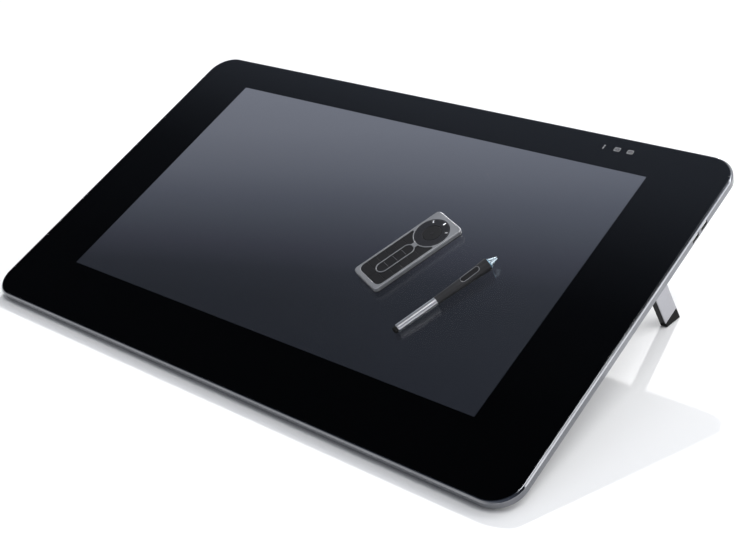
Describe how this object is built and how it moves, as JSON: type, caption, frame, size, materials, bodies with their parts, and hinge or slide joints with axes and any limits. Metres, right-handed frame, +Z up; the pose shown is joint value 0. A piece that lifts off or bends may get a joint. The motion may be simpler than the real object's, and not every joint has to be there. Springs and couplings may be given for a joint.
{
  "type": "pen display",
  "caption": "Graphics tablet with a flush glass screen in a thin metal rim, tilted on fold-out legs, with a key remote and a pen resting on the glass.",
  "frame": {"origin": "on the desk, under the middle of the object's box", "axes": "+X to the user's right along the screen, +Y away from the user, +Z up from the desk"},
  "size_m": [0.768, 0.4347, 0.168],
  "materials": {
    "glass": "polished, faint etch",
    "print_black": "gloss print",
    "tape": "foam tape",
    "rim_metal": "fine blasted, bright chamfer",
    "screen": "dark, switched off",
    "guide": "clear acrylic",
    "steel": "plain",
    "board": "circuit board",
    "chassis_metal": "pressed sheet",
    "port_metal": "plated",
    "socket_plastic": "moulded",
    "cover_plastic": "fine texture",
    "rubber": "soft matte",
    "screw_black": "blackened",
    "leg_black": "satin",
    "leg_metal": "brushed across",
    "battery": "wrapped",
    "ring_black": "satin gloss",
    "light": "lit white",
    "key_plastic": "satin",
    "pen_metal": "satin",
    "pen_pale": "satin",
    "pen_band": "gloss"
  },
  "bodies": {
    "tablet": {"cover_glass": "glass", "border_mask": "print_black", "glass_tape": "tape", "rim_frame": "rim_metal", "lcd_panel": "screen", "light_guide": "guide", "panel_tray": "steel", "sensor_board": "board", "chassis": "chassis_metal", "main_board": "board", "usb_board": "board", "usb_ports": "port_metal", "rear_sockets": "socket_plastic", "rear_cover": "cover_plastic", "leg_brackets": "steel", "hinge_pins": "steel", "front_feet": "rubber", "rear_pads": "rubber", "case_screws": "screw_black", "chassis_screws": "steel", "power_switch": "socket_plastic"},
    "power_button": {"power_button": "rim_metal"},
    "right_leg": {"right_leg_arm": "leg_black", "right_leg_plate": "leg_metal", "right_leg_foot": "rubber"},
    "left_leg": {"left_leg_arm": "leg_black", "left_leg_plate": "leg_metal", "left_leg_foot": "rubber"},
    "remote": {"remote_frame": "rim_metal", "remote_base": "cover_plastic", "remote_board": "board", "remote_battery": "battery", "remote_key_mat": "rubber", "touch_ring": "ring_black", "ring_lights": "light"},
    "ring_button": {"ring_button": "key_plastic"},
    "pill_key_1": {"pill_key_1": "key_plastic"},
    "pill_key_2": {"pill_key_2": "key_plastic"},
    "pill_key_3": {"pill_key_3": "key_plastic"},
    "pill_key_4": {"pill_key_4": "key_plastic"},
    "left_key_1": {"left_key_1": "key_plastic"},
    "left_key_2": {"left_key_2": "key_plastic"},
    "left_key_3": {"left_key_3": "key_plastic"},
    "left_key_4": {"left_key_4": "key_plastic"},
    "left_key_5": {"left_key_5": "key_plastic"},
    "left_key_6": {"left_key_6": "key_plastic"},
    "right_key_1": {"right_key_1": "key_plastic"},
    "right_key_2": {"right_key_2": "key_plastic"},
    "right_key_3": {"right_key_3": "key_plastic"},
    "right_key_4": {"right_key_4": "key_plastic"},
    "right_key_5": {"right_key_5": "key_plastic"},
    "right_key_6": {"right_key_6": "key_plastic"},
    "pen": {"pen_barrel": "pen_metal", "pen_grip": "rubber", "pen_cone": "pen_pale", "pen_band": "pen_band", "pen_core": "battery"},
    "pen_nib": {"pen_nib": "key_plastic"},
    "pen_eraser": {"pen_eraser": "rubber"},
    "pen_switch": {"pen_switch": "key_plastic"}
  },
  "joints": [
    {"name": "right_leg_hinge", "type": "hinge", "parent": "tablet", "child": "right_leg", "pos_m": [0.323, 0.10621, 0.11323], "axis": [0, 0.9397, 0.342], "range_deg": [0, 98]},
    {"name": "left_leg_hinge", "type": "hinge", "parent": "tablet", "child": "left_leg", "pos_m": [-0.323, 0.10621, 0.11323], "axis": [0, -0.9397, -0.342], "range_deg": [0, 98]},
    {"name": "power_press", "type": "slide", "parent": "tablet", "child": "power_button", "axis": [0, -0.9397, -0.342], "range_m": [0, 0.0008], "stiffness_N_per_m": 400, "springref_m": -0.001},
    {"name": "remote_lift", "type": "slide", "parent": "tablet", "child": "remote", "axis": [0, -0.342, 0.9397], "range_m": [0, 0.08]},
    {"name": "pen_lift", "type": "slide", "parent": "tablet", "child": "pen", "axis": [0, -0.342, 0.9397], "range_m": [0, 0.08]},
    {"name": "ring_button_press", "type": "slide", "parent": "remote", "child": "ring_button", "axis": [0, 0.342, -0.9397], "range_m": [0, 0.0006], "stiffness_N_per_m": 400, "springref_m": -0.001},
    {"name": "pill_key_1_press", "type": "slide", "parent": "remote", "child": "pill_key_1", "axis": [0, 0.342, -0.9397], "range_m": [0, 0.0006], "stiffness_N_per_m": 400, "springref_m": -0.001},
    {"name": "pill_key_2_press", "type": "slide", "parent": "remote", "child": "pill_key_2", "axis": [0, 0.342, -0.9397], "range_m": [0, 0.0006], "stiffness_N_per_m": 400, "springref_m": -0.001},
    {"name": "pill_key_3_press", "type": "slide", "parent": "remote", "child": "pill_key_3", "axis": [0, 0.342, -0.9397], "range_m": [0, 0.0006], "stiffness_N_per_m": 400, "springref_m": -0.001},
    {"name": "pill_key_4_press", "type": "slide", "parent": "remote", "child": "pill_key_4", "axis": [0, 0.342, -0.9397], "range_m": [0, 0.0006], "stiffness_N_per_m": 400, "springref_m": -0.001},
    {"name": "left_key_1_press", "type": "slide", "parent": "remote", "child": "left_key_1", "axis": [0, 0.342, -0.9397], "range_m": [0, 0.0006], "stiffness_N_per_m": 400, "springref_m": -0.001},
    {"name": "left_key_2_press", "type": "slide", "parent": "remote", "child": "left_key_2", "axis": [0, 0.342, -0.9397], "range_m": [0, 0.0006], "stiffness_N_per_m": 400, "springref_m": -0.001},
    {"name": "left_key_3_press", "type": "slide", "parent": "remote", "child": "left_key_3", "axis": [0, 0.342, -0.9397], "range_m": [0, 0.0006], "stiffness_N_per_m": 400, "springref_m": -0.001},
    {"name": "left_key_4_press", "type": "slide", "parent": "remote", "child": "left_key_4", "axis": [0, 0.342, -0.9397], "range_m": [0, 0.0006], "stiffness_N_per_m": 400, "springref_m": -0.001},
    {"name": "left_key_5_press", "type": "slide", "parent": "remote", "child": "left_key_5", "axis": [0, 0.342, -0.9397], "range_m": [0, 0.0006], "stiffness_N_per_m": 400, "springref_m": -0.001},
    {"name": "left_key_6_press", "type": "slide", "parent": "remote", "child": "left_key_6", "axis": [0, 0.342, -0.9397], "range_m": [0, 0.0006], "stiffness_N_per_m": 400, "springref_m": -0.001},
    {"name": "right_key_1_press", "type": "slide", "parent": "remote", "child": "right_key_1", "axis": [0, 0.342, -0.9397], "range_m": [0, 0.0006], "stiffness_N_per_m": 400, "springref_m": -0.001},
    {"name": "right_key_2_press", "type": "slide", "parent": "remote", "child": "right_key_2", "axis": [0, 0.342, -0.9397], "range_m": [0, 0.0006], "stiffness_N_per_m": 400, "springref_m": -0.001},
    {"name": "right_key_3_press", "type": "slide", "parent": "remote", "child": "right_key_3", "axis": [0, 0.342, -0.9397], "range_m": [0, 0.0006], "stiffness_N_per_m": 400, "springref_m": -0.001},
    {"name": "right_key_4_press", "type": "slide", "parent": "remote", "child": "right_key_4", "axis": [0, 0.342, -0.9397], "range_m": [0, 0.0006], "stiffness_N_per_m": 400, "springref_m": -0.001},
    {"name": "right_key_5_press", "type": "slide", "parent": "remote", "child": "right_key_5", "axis": [0, 0.342, -0.9397], "range_m": [0, 0.0006], "stiffness_N_per_m": 400, "springref_m": -0.001},
    {"name": "right_key_6_press", "type": "slide", "parent": "remote", "child": "right_key_6", "axis": [0, 0.342, -0.9397], "range_m": [0, 0.0006], "stiffness_N_per_m": 400, "springref_m": -0.001},
    {"name": "nib_press", "type": "slide", "parent": "pen", "child": "pen_nib", "axis": [-0.3826, -0.8597, -0.3385], "range_m": [0, 0.0005], "stiffness_N_per_m": 400, "springref_m": -0.001},
    {"name": "eraser_press", "type": "slide", "parent": "pen", "child": "pen_eraser", "axis": [0.3826, 0.8597, 0.3385], "range_m": [0, 0.0006], "stiffness_N_per_m": 400, "springref_m": -0.001},
    {"name": "switch_rock", "type": "hinge", "parent": "pen", "child": "pen_switch", "pos_m": [0.20174, -0.01528, 0.09682], "axis": [0.8948, -0.2534, -0.3676], "range_deg": [-3, 3], "stiffness_Nm_per_rad": 0.05}
  ]
}
